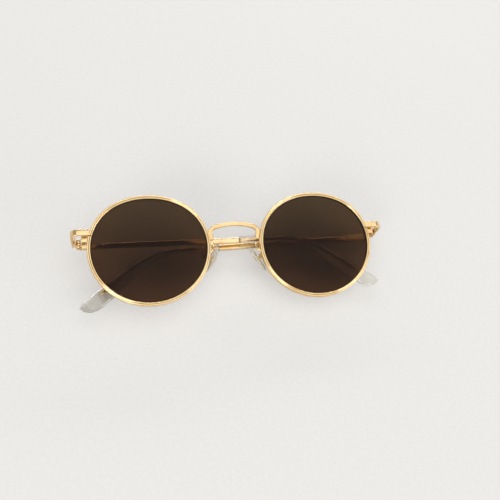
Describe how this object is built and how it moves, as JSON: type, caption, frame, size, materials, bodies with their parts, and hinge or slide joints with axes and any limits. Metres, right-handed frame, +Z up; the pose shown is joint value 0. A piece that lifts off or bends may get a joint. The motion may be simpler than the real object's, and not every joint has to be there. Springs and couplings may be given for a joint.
{
  "type": "round sunglasses",
  "caption": "Round metal-rimmed sunglasses with brown tinted lenses, an arched bridge, clear nose pads and folding temples with clear tips, shown folded.",
  "frame": {"origin": "on the floor under the middle of the bounding box", "axes": "+X from the left lens to the right lens of the front as seen from above, +Y from the chin side to the brow side, +Z up; the glasses lie folded with the lens fronts up"},
  "size_m": [0.144, 0.0486, 0.0232],
  "materials": {
    "gold_metal": "polished pale gold plating",
    "gold_screw": "turned, pale gold plating",
    "tinted_lens": "polished, brown tint",
    "clear_tip": "clear moulded, glossy",
    "clear_pad": "clear, slightly soft gloss"
  },
  "bodies": {
    "front": {"bridge": "gold_metal", "eyewire_left": "gold_metal", "lens_left": "tinted_lens", "pad_arm_left": "gold_metal", "pad_box_left": "gold_metal", "pad_screw_left": "gold_screw", "endpiece_left": "gold_metal", "closing_block_upper_left": "gold_metal", "closing_block_lower_left": "gold_metal", "closing_screw_left": "gold_screw", "hinge_front_left": "gold_metal", "hinge_screw_left": "gold_screw", "eyewire_right": "gold_metal", "lens_right": "tinted_lens", "pad_arm_right": "gold_metal", "pad_box_right": "gold_metal", "pad_screw_right": "gold_screw", "endpiece_right": "gold_metal", "closing_block_upper_right": "gold_metal", "closing_block_lower_right": "gold_metal", "closing_screw_right": "gold_screw", "hinge_front_right": "gold_metal", "hinge_screw_right": "gold_screw"},
    "temple_left": {"hinge_temple_left": "gold_metal", "temple_left": "gold_metal", "temple_tip_left": "clear_tip"},
    "temple_right": {"hinge_temple_right": "gold_metal", "temple_right": "gold_metal", "temple_tip_right": "clear_tip"},
    "pad_left": {"nose_pad_left": "clear_pad", "pad_insert_left": "gold_metal"},
    "pad_right": {"nose_pad_right": "clear_pad", "pad_insert_right": "gold_metal"}
  },
  "joints": [
    {"name": "temple_right_fold", "type": "hinge", "parent": "front", "child": "temple_right", "pos_m": [0.06883, 0.00808, 0.0028], "axis": [0, -1, 0], "range_deg": [0, 90.9]},
    {"name": "temple_left_fold", "type": "hinge", "parent": "front", "child": "temple_left", "pos_m": [-0.06918, 0.00808, 0.00778], "axis": [0, 1, 0], "range_deg": [0, 93.3]},
    {"name": "pad_right_rock", "type": "hinge", "parent": "front", "child": "pad_right", "pos_m": [0.01252, -0.00294, 0.00982], "axis": [0.2899, 0.3966, -0.871], "range_deg": [-8, 8]},
    {"name": "pad_left_rock", "type": "hinge", "parent": "front", "child": "pad_left", "pos_m": [-0.01251, -0.00294, 0.01072], "axis": [-0.3519, 0.3966, -0.8479], "range_deg": [-8, 8]}
  ]
}
